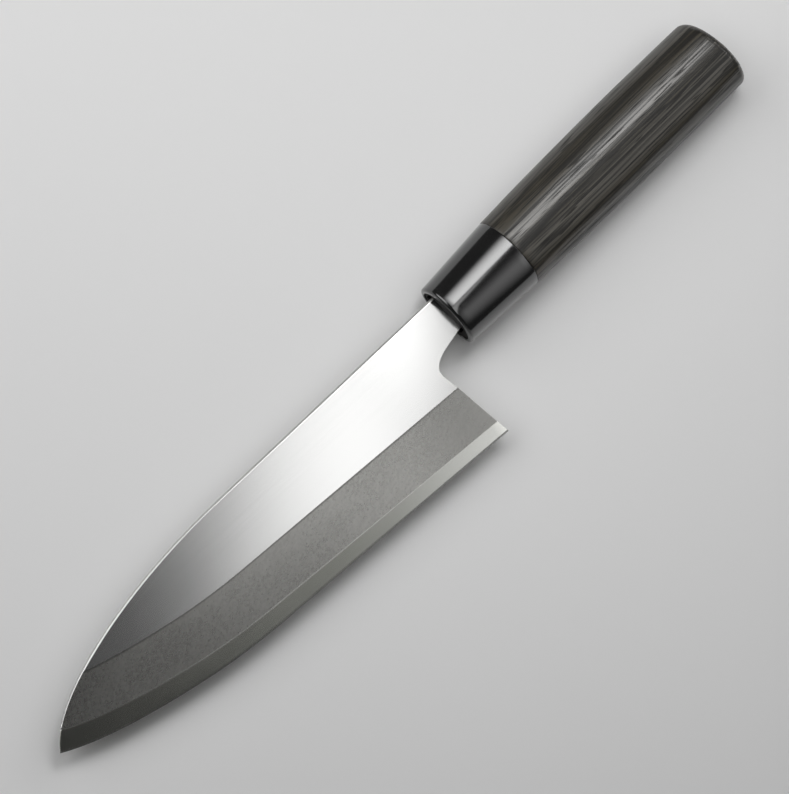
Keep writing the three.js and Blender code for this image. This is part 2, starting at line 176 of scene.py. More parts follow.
class HandleSettings(bpy.types.PropertyGroup):
    """Sizes and finishes of the handle and its ferrule."""

    handle_length: length(
        "Handle length", "From the mouth of the ferrule to the butt", HANDLE_HIGH.x - FERRULE_LOW.x
    )
    ferrule_length: length("Ferrule length", "Length of the ferrule", FERRULE_HIGH.x - FERRULE_LOW.x)
    ferrule_wall: length("Ferrule wall", "Wall of the ferrule at its mouth", 1.8 * MM)
    ferrule_rim: length("Ferrule rim", "Radius of the ferrule's front rim", 1 * MM)
    mouth_height: length("Mouth height", "Height of the ferrule at its mouth", 24.1 * MM)
    mouth_thickness: length("Mouth thickness", "Thickness of the ferrule at its mouth", 17.5 * MM)
    joint_height: length("Joint height", "Height where ferrule and wood meet", 27.4 * MM)
    joint_thickness: length("Joint thickness", "Thickness where ferrule and wood meet", 19 * MM)
    swell_from_butt: length("Swell place", "From the butt to where the handle is fullest", 35 * MM)
    swell_height: length(
        "Swell height", "Height of the handle where it is fullest", HANDLE_HIGH.y - HANDLE_LOW.y
    )
    swell_thickness: length("Swell thickness", "Thickness of the handle where it is fullest", 20.5 * MM)
    butt_height: length("Butt height", "Height of the handle at the butt", 28.8 * MM)
    butt_thickness: length("Butt thickness", "Thickness of the handle at the butt", 20 * MM)
    butt_round: length("Butt round", "Radius of the rounded butt", 3.2 * MM)
    butt_slant: share("Butt slant", "How far the butt leans back for each unit toward the edge's side", 0.1)
    butt_bulge: length("Butt bulge", "How far the slanted butt reaches past the plain end", 1.2 * MM)
    mouth_drop: length("Mouth drop", "How far the mouth's middle lies below the axis", 0.95 * MM)
    joint_drop: length("Joint drop", "How far the joint's middle lies below the axis", 0.5 * MM)
    swell_drop: length("Swell drop", "How far the swell's middle lies below the axis", SWELL_DROP)
    butt_drop: length("Butt drop", "How far the butt's middle lies below the axis", 0.2 * MM)
    mouth_ridge: length("Mouth ridge", "Height of the ridge above the underside at the mouth", 3.8 * MM)
    joint_ridge: length("Joint ridge", "Height of the ridge above the underside at the joint", 4 * MM)
    swell_ridge: length("Swell ridge", "Height of the ridge above the underside at the swell", 4.7 * MM)
    butt_ridge: length("Butt ridge", "Height of the ridge above the underside at the butt", 5 * MM)
    ridge_set_back: length("Ridge set back", "Depth of the ridge below the crown", 2.4 * MM)
    tallest_set_back: length("Tallest place", "How far behind the middle the section is tallest", 1.8 * MM)
    ridge_round: length("Ridge round", "Reach of the eased ridge on each side", 0.6 * MM)
    joint_ease: length("Joint ease", "Eased corners that leave a fine groove at the joint", 0.3 * MM)
    tenon_start: length("Tenon start", "From the mouth to the front of the wooden tenon", 6 * MM)
    resin_set_back: length("Resin set back", "From the mouth to the face of the resin", 0.3 * MM)
    resin_bed: length("Resin bed", "Thickness of the resin round the tang", 0.9 * MM)
    slot_end_gap: length("Slot ends", "Open length of the slot beyond the neck, at each end", 1.2 * MM)
    glue_gap: length("Glue film", "Gap that stands for the glue", 0.15 * MM)
    collar_colour: colour("Ferrule", "Black of the ferrule", (0.006, 0.006, 0.006))
    wood_dark: colour("Wood, dark", "Dark bands and pores of the wood", (0.009, 0.0078, 0.0056))
    wood_light: colour("Wood, light", "Light bands of the wood", (0.046, 0.0398, 0.0272))
    wood_warm: colour("Wood, warm", "Warm tint in parts of the wood", (0.075, 0.046, 0.034))
    resin_colour: colour("Resin", "Resin at the mouth", (0.016, 0.015, 0.014))


class StageSettings(bpy.types.PropertyGroup):
    """The camera and the studio."""

    toward_tip: angle("Toward the tip", "How far the view leans over the tip", 14.5)
    toward_spine: angle("Toward the spine", "How far the view leans over the spine", 2)
    roll: angle("Roll", "How far the handle points up in the picture", 44.5)
    distance: length("Distance", "From the camera to what it looks at", 1.442)
    focal_pixels: share("Focal length", "Focal length in pixels of the picture", 4400)
    aim: bpy.props.FloatVectorProperty(
        name="Aim",
        description="The point that the camera looks at",
        default=(-0.002, 0.00606, 0.01144),
        size=3,
        precision=5,
        subtype="TRANSLATION",
    )
    floor_colour: colour("Floor", "Colour of the floor", (0.80, 0.80, 0.80))
    horizon_colour: colour("Horizon", "Light of the room at the horizon", (0.06, 0.06, 0.06))
    ceiling_colour: colour("Ceiling", "Light of the room overhead", (0.03, 0.03, 0.03))
    key_light: share("Key light", "Brightness of the large lamp on the spine's side", 6.2)
    flat_light: share("Flat light", "Brightness of the lamp that shows in the blade's flat", 2.0)
    edge_light: share("Edge light", "Brightness of the lamp on the edge's side", 1.2)
    spine_light: share("Spine light", "Brightness of the lamp that shows in the rounded spine", 2.4)
    fill_light: share("Fill light", "Brightness of the broad lamp beyond the butt", 2.6)


# Nodes


class Flow:
    """A number on its way through a node tree. Python's operators add the Math nodes."""

    def __init__(self, tree, socket):
        self.tree = tree
        self.socket = socket

    def maths(self, operation, *values):
        settings = {"operation": operation}
        return self.tree.flow("ShaderNodeMath", 0, settings, dict(enumerate(values)))

    def __add__(self, other):
        return self.maths("ADD", self, other)

    def __radd__(self, other):
        return self.maths("ADD", other, self)

    def __sub__(self, other):
        return self.maths("SUBTRACT", self, other)

    def __rsub__(self, other):
        return self.maths("SUBTRACT", other, self)

    def __mul__(self, other):
        return self.maths("MULTIPLY", self, other)

    def __rmul__(self, other):
        return self.maths("MULTIPLY", other, self)

    def __truediv__(self, other):
        return self.maths("DIVIDE", self, other)

    def __pow__(self, other):
        return self.maths("POWER", self, other)

    def __lt__(self, other):
        return self.maths("LESS_THAN", self, other)

    def __gt__(self, other):
        return self.maths("GREATER_THAN", self, other)

    def sine(self):
        return self.maths("SINE", self)

    def cosine(self):
        return self.maths("COSINE", self)

    def held(self):
        """The number, kept between 0 and 1."""
        return self.maths("MINIMUM", self.maths("MAXIMUM", self, 0.0), 1.0)

    def step(self, low, high):
        """0 below low, 1 above high, and a smooth rise between them."""
        settings = {"interpolation_type": "SMOOTHSTEP"}
        values = {"Value": self, "From Min": low, "From Max": high}
        return self.tree.flow("ShaderNodeMapRange", 0, settings, values)


class Tree:
    """A node tree that is being built."""

    def __init__(self, tree):
        self.tree = tree

    def node(self, kind, settings=None, values=None):
        """Adds a node of any kind: its settings are set first, then its sockets are given values or links."""
        made = self.tree.nodes.new(kind)
        for name, value in (settings or {}).items():
            setattr(made, name, value)
        for name, value in (values or {}).items():
            self.feed(made.inputs[name], value)
        return made

    def flow(self, kind, output, settings=None, values=None):
        """Adds a node and returns one of its outputs."""
        return Flow(self, self.node(kind, settings, values).outputs[output])

    def feed(self, socket, value):
        """Links a socket to a flow, or sets its number, colour or other value."""
        if isinstance(value, Flow):
            self.tree.links.new(value.socket, socket)
        elif socket.type == "RGBA" and len(value) == 3:
            socket.default_value = (*value, 1.0)
        else:
            socket.default_value = value

    def mix(self, factor, first, second):
        """A colour between two others."""
        return self.flow("ShaderNodeMix", 2, {"data_type": "RGBA"}, {0: factor, 6: first, 7: second})

    def stretched(self, scale, turned=(0.0, 0.0, 0.0)):
        """The piece's own coordinates, turned and then scaled, so that a pattern stretches any way."""
        place = self.flow("ShaderNodeTexCoord", "Object")
        settings = {"rotation_type": "EULER_XYZ"}
        place = self.flow("ShaderNodeVectorRotate", 0, settings, {"Vector": place, "Rotation": turned})
        return self.flow("ShaderNodeVectorMath", 0, {"operation": "MULTIPLY"}, {0: place, 1: scale})

    def height_along(self, axis):
        """One of the piece's own coordinates, in metres."""
        place = self.flow("ShaderNodeTexCoord", "Object")
        return self.flow("ShaderNodeSeparateXYZ", axis, None, {0: place})

    def noise(self, vector, detail=3.0, roughness=0.5, distortion=0.0):
        """Even noise from about 0 to 1."""
        values = {
            "Vector": vector,
            "Scale": 1.0,
            "Detail": detail,
            "Roughness": roughness,
            "Distortion": distortion,
        }
        return self.flow("ShaderNodeTexNoise", 0, {"noise_dimensions": "3D"}, values)


def new_material(name, build):
    """A material whose nodes build adds. build returns what feeds the sockets of its Principled shader."""
    material = bpy.data.materials.new(name)
    material.use_nodes = True
    material.node_tree.nodes.clear()
    tree = Tree(material.node_tree)
    shader = tree.node("ShaderNodeBsdfPrincipled", None, build(tree))
    output = tree.node("ShaderNodeOutputMaterial")
    material.node_tree.links.new(shader.outputs[0], output.inputs[0])
    return material


def bump(tree, height, strength, distance):
    """A normal that follows fine relief, distance deep in metres."""
    values = {"Strength": strength, "Distance": distance, "Height": height}
    return tree.flow("ShaderNodeBump", 0, None, values)


# Finishes


def scaled(tone, factor):
    """A colour made lighter or darker."""
    return [part * factor for part in tone]


def satin_steel(tone):
    """Flat of the blade: satin polish with faint lengthwise lines, and a painted highlight that makes it
    brighter toward the neck.
    """

    def build(tree):
        lines = tree.noise(tree.stretched((14, 900, 900), (0, 0, 0.03)), 2.0, 0.5)
        cloud = tree.noise(tree.stretched((35, 70, 70)), 2.0)
        worn = tree.mix(cloud.step(0.3, 0.8), scaled(tone, 0.98), tone)
        lined = tree.mix(lines.step(0.4, 0.7) * 0.6, worn, scaled(tone, 0.96))
        # Painted highlight: the flat's colour is made much lighter toward the neck, standing in for the light
        # it reflects there.
        painted_neck_highlight = tree.height_along("X").step(-0.01, 0.03)
        return {
            "Base Color": tree.mix(painted_neck_highlight, lined, scaled(tone, 1.42)),
            "Metallic": 1.0,
            "Roughness": 0.205 + cloud * 0.03,
        }

    return new_material("satin_steel", build)


def matt_steel(tone):
    """Wide bevel: hazy, with a fine speckle, grinding marks, a darker strip under the ridge line, and painted
    shade toward the heel and in a band in the middle of the blade.
    """

    def build(tree):
        speckle = tree.noise(tree.stretched((850, 1150, 1150), (0, 0, -0.35)), 2.0, 0.7)
        marks = tree.noise(tree.stretched((150, 1000, 1000), (0, 0, -0.3)), 2.0, 0.6)
        haze = tree.noise(tree.stretched((40, 70, 70)), 3.0, 0.5)
        away = tree.flow("ShaderNodeAttribute", "Fac", {"attribute_name": FROM_EDGE})
        light = scaled(tone, 1.12)
        clouded = tree.mix(haze.step(0.30, 0.72), scaled(tone, 0.94), scaled(tone, 1.04))
        marked = tree.mix(marks.step(0.42, 0.64) * 0.4, clouded, scaled(tone, 0.82))
        specked = tree.mix(speckle.step(0.42, 0.66) * 0.8, marked, light)
        along = tree.height_along("X")
        # Painted shade: middle darkens the bevel in a band in the middle of the blade, and heel darkens it
        # toward the heel, shaping how its light falls off along the blade.
        middle = along.step(-0.03, -0.07) * along.step(-0.14, -0.10) * 0.3
        heel = along.step(-0.018, 0.012) * 0.5
        under_ridge = away.step(0.5, 1.0) * 0.1 + away.step(0.96, 0.985) * 0.75
        shade = under_ridge.maths("MAXIMUM", under_ridge, heel + middle)
        return {
            "Base Color": tree.mix(shade, specked, scaled(tone, 0.45)),
            "Metallic": 1.0,
            "Roughness": 0.23 + speckle * 0.06 + haze * 0.04,
            "Normal": bump(tree, speckle + marks, 0.05, 0.03 * MM),
        }

    return new_material("matt_steel", build)


def bright_steel(tone):
    """Edge of the hard layer: stone polish, with a painted highlight toward the heel and painted highlight
    lines along its two bounds.
    """

    def build(tree):
        lines = tree.noise(tree.stretched((25, 800, 800), (0, 0, 0.07)), 2.0, 0.5)
        cloud = tree.noise(tree.stretched((60, 160, 160)), 2.0)
        away = tree.flow("ShaderNodeAttribute", "Fac", {"attribute_name": FROM_EDGE})
        clouded = tree.mix(cloud.step(0.3, 0.75), scaled(tone, 0.96), tone)
        lined = tree.mix(lines.step(0.4, 0.7) * 0.5, clouded, scaled(tone, 0.95))
        # Painted highlight: thin lighter lines along both bounds of the band, mixed toward the bright colour
        # below.
        painted_line_highlights = away.step(0.92, 0.96) * 0.8 + away.step(0.10, 0.07)
        # Painted highlight: the band's colour is made lighter toward the heel; bright is the colour of these
        # painted highlights.
        painted_heel_highlight = tree.height_along("X").step(-0.06, 0.03)
        bright = [0.5 + part * 0.9 for part in tone]
        return {
            "Base Color": tree.mix(painted_line_highlights.maths("MAXIMUM", painted_line_highlights, painted_heel_highlight), lined, bright),
            "Metallic": 1.0,
            "Roughness": 0.22 + cloud * 0.04,
        }

    return new_material("bright_steel", build)


def rubbed_steel(name, tone):
    """Spine and heel: rubbed round with fine paper, and lighter than the flat, which paints part of the light
    line along them.
    """

    def build(tree):
        rubs = tree.noise(tree.stretched((30, 800, 800)), 2.0, 0.5)
        return {
            "Base Color": tree.mix(rubs.step(0.4, 0.7), tone, scaled(tone, 0.92)),
            "Metallic": 1.0,
            "Roughness": 0.30 + rubs * 0.06,
        }

    return new_material(name, build)


def back_steel(tone):
    """Back of the blade: scraped lengthwise in its hollow, plain polish on its rim."""

    def build(tree):
        lines = tree.noise(tree.stretched((9, 700, 700), (0, 0, 0.04)), 3.0, 0.6)
        cloud = tree.noise(tree.stretched((30, 90, 90)), 2.0)
        return {
            "Base Color": tree.mix(lines.step(0.35, 0.7), scaled(tone, 0.86), tone),
            "Metallic": 1.0,
            "Roughness": 0.24 + cloud * 0.06 + lines * 0.08,
        }

    return new_material("back_steel", build)


def black_collar(tone):
    """Ferrule: polished black with hair-fine handling marks."""

    def build(tree):
        hair = tree.noise(tree.stretched((40, 1100, 1100), (0.3, 0.12, 0.05)), 2.0, 0.7)
        smear = tree.noise(tree.stretched((60, 90, 90)), 3.0, 0.5)
        return {
            "Base Color": tree.mix(smear, tone, scaled(tone, 1.8)),
            "Roughness": 0.13 + smear * 0.05 + hair.step(0.62, 0.75) * 0.06,
            "IOR": 1.62,
            "Coat Weight": 1.0,
            "Coat Roughness": 0.08,
            "Normal": bump(tree, smear + hair * 0.1, 0.04, 0.04 * MM),
        }

    return new_material("black_collar", build)


def dark_wood(dark, light, warm):
    """Handle: dark close-grained wood, with open pores along it and a thin rubbed finish."""

    def build(tree):
        drift = tree.noise(tree.stretched((9, 60, 60)), 2.0)
        bands = tree.noise(tree.stretched((4, 260, 220), (0.5, 0, 0)), 2.0, 0.5, 0.2)
        fibre = tree.noise(tree.stretched((8, 1650, 1650), (0.2, 0, 0)), 2.0, 0.65)
        pores = tree.noise(tree.stretched((75, 1500, 1500)), 1.0, 0.5).step(0.60, 0.68)
        tone = (bands * 0.3 + fibre * 0.7).step(0.43, 0.59)
        plain = tree.mix(tone, dark, light)
        edge_side = tree.height_along("Y").step(0.012, 0.0)
        tinted = tree.mix(drift.step(0.42, 0.66) * edge_side * tone * 0.7, plain, warm)
        return {
            "Base Color": tree.mix(pores * 0.8, tinted, scaled(dark, 0.5)),
            "Roughness": 0.36 + fibre * 0.10 + pores * 0.2,
            "IOR": 1.5,
            "Coat Weight": 0.04 + fibre.step(0.43, 0.58) * (1 - pores) * 0.9,
            "Coat Roughness": 0.19,
            "Normal": bump(tree, fibre * 0.6 - pores, 0.3, 0.06 * MM),
        }

    return new_material("dark_wood", build)


def mouth_resin(tone):
    """Resin at the mouth: dull, with a slightly uneven poured face."""

    def build(tree):
        lumps = tree.noise(tree.stretched((700, 700, 700)), 3.0, 0.6)
        return {
            "Base Color": tree.mix(lumps, scaled(tone, 0.6), scaled(tone, 1.6)),
            "Roughness": 0.5 + lumps * 0.1,
            "Specular IOR Level": 0.15,
        }

    return new_material("mouth_resin", build)


# Pieces


def as_piece(name, mesh, node):
    """Links a finished mesh as the piece that stands for a CAD node."""
    piece = bpy.data.objects.new(name, mesh)
    bpy.context.scene.collection.objects.link(piece)
    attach(piece, "root")
    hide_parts(node)
    return piece


def bezier(points, steps):
    """Points along a Bezier curve of any degree."""
    times = np.linspace(0, 1, steps + 1)[:, None]
    row = [np.ones((steps + 1, 1)) * np.array(point, float) for point in points]
    while len(row) > 1:
        row = [first * (1 - times) + second * times for first, second in zip(row, row[1:])]
    return row[0]


def straight(start, end, spacing):
    """Points along a line, about spacing apart. It bows by a few microns, so no three are in line."""
    start = np.array(start, float)
    run = np.array(end, float) - start
    reach = float(np.linalg.norm(run))
    times = np.linspace(0, 1, max(1, round(reach / spacing)) + 1)[:, None]
    aside = np.array((run[1], -run[0])) / reach
    return start + times * run + times * (1 - times) * LINE_BOW * aside


def joined(*paths):
    """Several paths as one, each starting where the last ends."""
    return np.concatenate([paths[0], *[path[1:] for path in paths[1:]]])


def inward(path):
    """Unit vectors to the left of a path at each of its points."""
    along = np.gradient(path, axis=0)
    along = along / np.linalg.norm(along, axis=1)[:, None]
    return np.stack([-along[:, 1], along[:, 0]], axis=1)


def nearest(points, path):
    """Distance from each point to a path, with the nearest stretch and the share of the way along it."""
    start = path[:-1]
    run = path[1:] - start
    away = points[:, None, :] - start[None]
    along = np.clip((away * run).sum(2) / (run * run).sum(1), 0, 1)
    gaps = np.linalg.norm(away - along[..., None] * run, axis=2)
    stretch = gaps.argmin(1)
    pick = np.arange(len(points))
    return gaps[pick, stretch], stretch, along[pick, stretch]


def along_path(values, stretch, share_along):
    """A value held at each point of a path, read between the points."""
    return values[stretch] * (1 - share_along) + values[stretch + 1] * share_along


class BladeShape:
    """Lines and heights of the blade, from the ferrule's mouth, the handle's axis and the blade's back."""

    spacing = 4 * MM
    curve_steps = 72
    ease_turns = (0.35, 0.7, 1.05, 1.4, math.pi / 2)
    tip_fade = 30 * MM
    tip_ease_left = 0.2
    heel_fade = 4 * MM
    blend_steps = 24
    notch_steps = 20
    heel_spacing = 1.5 * MM
    fold_slack = 0.002 * MM
    hollow_steps = 120
    hollow_rings = (1.0, 0.97, 0.9, 0.8, 0.65, 0.5, 0.35, 0.2, 0.08)

    def __init__(self, sizes):
        self.sizes = sizes
        self.heel_x = -sizes.heel_to_mouth
        self.tip_x = self.heel_x - sizes.blade_length
        self.spine = self.spine_path()
        self.edge = self.edge_path()
        self.heel = self.heel_path()
        self.outline = joined(self.spine, self.edge, self.heel)
        self.set_rim()
        self.set_bevel()

    def spine_height(self, x):
        return self.sizes.spine_above_axis - self.sizes.spine_rise * x

    def neck_height(self, x):
        return self.sizes.neck_fall * x - self.sizes.neck_below_axis

    def edge_height(self, x):
        return self.sizes.edge_rise * (self.heel_x - x) - self.sizes.heel_depth

    def thickness(self, x):
        """Thickness of the stock, from the neck to the thin tip."""
        lost = self.sizes.neck_thickness - self.sizes.tip_thickness
        return self.sizes.neck_thickness - lost * (self.heel_x - x) / self.sizes.blade_length

    def spine_path(self):
        """Along the spine from inside the ferrule to the tip."""
        sizes = self.sizes
        start_x = self.tip_x + sizes.spine_curve
        leave_x = start_x - sizes.spine_leave
        tip = np.array((self.tip_x, -sizes.tip_drop))
        start = (start_x, self.spine_height(start_x))
        leave = (leave_x, self.spine_height(leave_x))
        pull = np.array((math.cos(sizes.spine_tip_angle), math.sin(sizes.spine_tip_angle)))
        curve = bezier([start, leave, tip + sizes.spine_arrive * pull, tip], self.curve_steps)
        neck = (sizes.neck_insert, self.spine_height(sizes.neck_insert))
        return joined(straight(neck, start, self.spacing), curve)

    def edge_path(self):
        """Along the cutting edge from the tip to the heel."""
        sizes = self.sizes
        tip = (self.tip_x, -sizes.tip_drop)
        belly_x = self.tip_x + sizes.belly_length
        belly = (belly_x, self.edge_height(belly_x))
        fall = tip[1] - belly[1] - sizes.belly_start_slope * sizes.belly_length
        reach = fall / (sizes.belly_tip_slope - sizes.belly_start_slope)
        control = (tip[0] + reach, tip[1] - sizes.belly_tip_slope * reach)
        heel = (self.heel_x, -sizes.heel_depth)
        curve = bezier([tip, control, belly], self.curve_steps)
        curve = curve[curve[:, 0] < belly_x - sizes.belly_blend]
        after = (belly_x + sizes.belly_blend, self.edge_height(belly_x + sizes.belly_blend))
        blend = bezier([curve[-1], belly, after], self.blend_steps)
        return joined(curve, blend, straight(after, heel, self.spacing))

    def heel_path(self):
        """Up the heel, round the notch and along the neck into the ferrule."""
        sizes = self.sizes
        lean = sizes.heel_lean
        corner_y = self.neck_height(self.heel_x) - sizes.neck_fall * lean * sizes.heel_depth
        corner_y = corner_y / (1 + sizes.neck_fall * lean)
        corner = np.array((self.heel_x - lean * (corner_y + sizes.heel_depth), corner_y))
        down = np.array((lean, -1.0)) / math.hypot(lean, 1)
        back = np.array((1.0, sizes.neck_fall)) / math.hypot(1, sizes.neck_fall)
        on_heel = corner + sizes.choil_on_heel * down
        on_neck = corner + sizes.choil_on_neck * back
        heel = (self.heel_x, -sizes.heel_depth)
        end = (sizes.neck_insert, self.neck_height(sizes.neck_insert))
        up_heel = straight(heel, on_heel, self.heel_spacing)
        notch = bezier([on_heel, corner, on_neck], self.notch_steps)
        return joined(up_heel, notch, straight(on_neck, end, self.heel_spacing))

    def set_rim(self):
        """The two eased stretches of the outline, each with the ease's radius at every point."""
        sizes = self.sizes
        from_tip = np.clip((self.spine[:, 0] - self.tip_x) / self.tip_fade, 0, 1)
        spine_ease = sizes.spine_ease * (self.tip_ease_left + (1 - self.tip_ease_left) * from_tip)
        spine_ease[-1] = 0
        up_heel = np.clip((self.heel[:, 1] + sizes.heel_depth) / self.heel_fade, 0, 1)
        self.rims = [(self.spine, spine_ease), (self.heel, sizes.heel_ease * up_heel)]

    def set_bevel(self):
        """The edge run past both of its ends, and the height of the bevel's top along it."""
        past_tip = self.edge[0] + 3 * (self.edge[0] - self.edge[1])
        past_heel = self.edge[-1] + 2 * (self.edge[-1] - self.edge[-2])
        self.long_edge = np.concatenate([[past_tip], self.edge, [past_heel]])
        self.edge_inward = inward(self.long_edge)
        ridge_x = self.long_edge[:, 0] + self.edge_inward[:, 0] * self.sizes.bevel_width
        self.bevel_top = self.thickness(ridge_x)

    def bevel_foot(self):
        return self.sizes.edge_land + self.sizes.micro_height

    def bevel_slope(self, top):
        return (top - self.bevel_foot()) / (self.sizes.bevel_width - self.sizes.micro_width)

    def edge_line(self, reach):
        """A line beside the edge, that far into the blade. Points that a bend folds over are left out."""
        reach = np.ones(len(self.long_edge)) * reach
        line = self.long_edge + self.edge_inward * reach[:, None]
        return line[nearest(line, self.long_edge)[0] > reach - self.fold_slack]

    def layer_reach(self, top):
        """How far into the blade the bevel cuts through to the hard layer."""
        rise = self.sizes.layer_thickness - self.bevel_foot()
        return self.sizes.micro_width + rise / self.bevel_slope(top)

    def from_edge(self, points):
        """Distance of each point from the edge, and the bevel's top there."""
        gap, stretch, along = nearest(points, self.long_edge)
        return gap, along_path(self.bevel_top, stretch, along)

    def bevel_height(self, points):
        """Height of the two bevels over the back."""
        gap, top = self.from_edge(points)
        wide = self.bevel_foot() + self.bevel_slope(top) * (gap - self.sizes.micro_width)
        small = self.sizes.edge_land + self.sizes.micro_height * gap / self.sizes.micro_width
        return np.where(gap < self.sizes.micro_width, small, wide)

    def eased(self, points):
        """How far the eased rim falls away at each point, and whether the point lies in it."""
        fall = np.zeros(len(points))
        inside = np.zeros(len(points), bool)
        for path, ease in self.rims:
            gap, stretch, along = nearest(points, path)
            radius = along_path(ease, stretch, along)
            short = np.maximum(radius - gap, 0)
            fall = np.maximum(fall, radius - np.sqrt(np.maximum(radius**2 - short**2, 0)))
            inside = inside | (short > 1e-6)
        return fall, inside

    def ease_lines(self):
        """Lines inside the rim, a small turn of the ease apart."""
        lines = []
        for path, ease in self.rims:
            for turn in self.ease_turns:
                reach = ease * (1 - math.cos(turn))
                lines.append(path + inward(path) * reach[:, None])
        return lines

    def front_height(self, points):
        """Height of the front over the back, with its bevels and eased rim."""
        flat = np.minimum(self.thickness(points[:, 0]), self.bevel_height(points))
        return flat - self.eased(points)[0]

    def hollow_frame(self):
        """Middle, half length, half width and lean of the hollow in the back."""
        sizes = self.sizes
        half_length = (sizes.blade_length - sizes.hollow_from_heel - sizes.hollow_from_tip) / 2
        middle_x = self.heel_x - sizes.hollow_from_heel - half_length
        top = self.spine_height(middle_x)
        low = self.edge_height(middle_x)
        lean = -math.atan((sizes.spine_rise + sizes.edge_rise) / 2)
        middle = np.array((middle_x, (top + low) / 2))
        return middle, half_length, (top - low) / 2 - sizes.hollow_rim, lean

    def hollow_ring(self, out):
        """A ring of the hollow, at a share of the way out from its middle."""
        middle, half_length, half_width, lean = self.hollow_frame()
        turn = np.linspace(0, 2 * math.pi, self.hollow_steps + 1)
        x = out * half_length * np.cos(turn)
        y = out * half_width * np.sin(turn)
        turned_x = x * math.cos(lean) - y * math.sin(lean)
        turned_y = x * math.sin(lean) + y * math.cos(lean)
        return middle + np.stack([turned_x, turned_y], axis=1)

    def hollow_share(self, points):
        """How far out each point lies in the hollow: 1 at its rim."""
        middle, half_length, half_width, lean = self.hollow_frame()
        away = points - middle
        x = away[:, 0] * math.cos(lean) + away[:, 1] * math.sin(lean)
        y = away[:, 1] * math.cos(lean) - away[:, 0] * math.sin(lean)
        return np.hypot(x / half_length, y / half_width)

    def back_height(self, points):
        """Height of the back: flat, hollowed in the middle and eased at the rim."""
        dish = self.sizes.hollow_depth * np.maximum(1 - self.hollow_share(points) ** 2, 0)
        return dish + self.eased(points)[0]


def triangles_inside(loop, lines):
    """Triangles that fill a closed loop and keep every line as edges. Returns their points and corners."""
    points = [Vector(place) for place in loop]
    edges = []
    for line in lines:
        start = len(points)
        points.extend(Vector(place) for place in line)
        edges.extend((start + k, start + k + 1) for k in range(len(line) - 1))
    made = delaunay_2d_cdt(points, edges, [list(range(len(loop)))], 1, 1e-7, False)
    places = np.array([tuple(place) for place in made[0]])
    faces = [list(corners) for corners in made[2]]
    within = encloses(loop, np.array([places[face].mean(axis=0) for face in faces]))
    return places, [face for face, kept in zip(faces, within) if kept]


def encloses(loop, points):
    """Which points lie inside a closed loop, by counting the sides that each point sees to its right."""
    x, y = points[:, 0], points[:, 1]
    inside = np.zeros(len(points), bool)
    for start, end in zip(loop, np.roll(loop, -1, axis=0)):
        crosses = (start[1] > y) != (end[1] > y)
        rise = end[1] - start[1] if end[1] != start[1] else 1.0
        inside = inside ^ (crosses & (x < start[0] + (y - start[1]) * (end[0] - start[0]) / rise))
    return inside


def border(faces):
    """The edges that only one face uses, each in that face's direction."""
    sides = [(face[k], face[(k + 1) % len(face)]) for face in faces for k in range(len(face))]
    known = set(sides)
    return [side for side in sides if (side[1], side[0]) not in known]


def ordered(sides):
    """Border edges as one closed run of points."""
    following = dict(sides)
    run = [sides[0][0]]
    while following[run[-1]] != run[0]:
        run.append(following[run[-1]])
    return run


class Skin:
    """Faces of a mesh that is being gathered, each with the zone it belongs to."""

    def __init__(self):
        self.numbers = {}
        self.places = []
        self.faces = []
        self.zones = []

    def corner(self, place):
        """The number of a corner. Corners in the same place are one."""
        key = tuple(round(float(part) * 1e7) for part in place)
        if key not in self.numbers:
            self.numbers[key] = len(self.places)
            self.places.append(tuple(float(part) for part in place))
        return self.numbers[key]

    def face(self, places, zone):
        """Adds a face, unless it has shrunk to a line."""
        corners = []
        for place in places:
            number = self.corner(place)
            if number not in corners:
                corners.append(number)
        if len(corners) > 2:
            self.faces.append(corners)
            self.zones.append(zone)

    def mesh(self, name, finishes, shift):
        """The finished mesh: smooth inside each zone, sharp between zones, with a material for each zone."""
        mesh = bpy.data.meshes.new(name)
        mesh.from_pydata([tuple(np.array(place) + shift) for place in self.places], [], self.faces)
        materials = list(dict.fromkeys(finishes.values()))
        for material in materials:
            mesh.materials.append(material)
        for polygon, zone in zip(mesh.polygons, self.zones):
            polygon.use_smooth = True
            polygon.material_index = materials.index(finishes[zone])
        touching = {}
        for polygon, zone in zip(mesh.polygons, self.zones):
            for key in polygon.edge_keys:
                touching.setdefault(key, set()).add(zone)
        for edge in mesh.edges:
            edge.use_edge_sharp = len(touching.get(edge.key, ())) > 1
        mesh.validate()
        mesh.update()
        return mesh


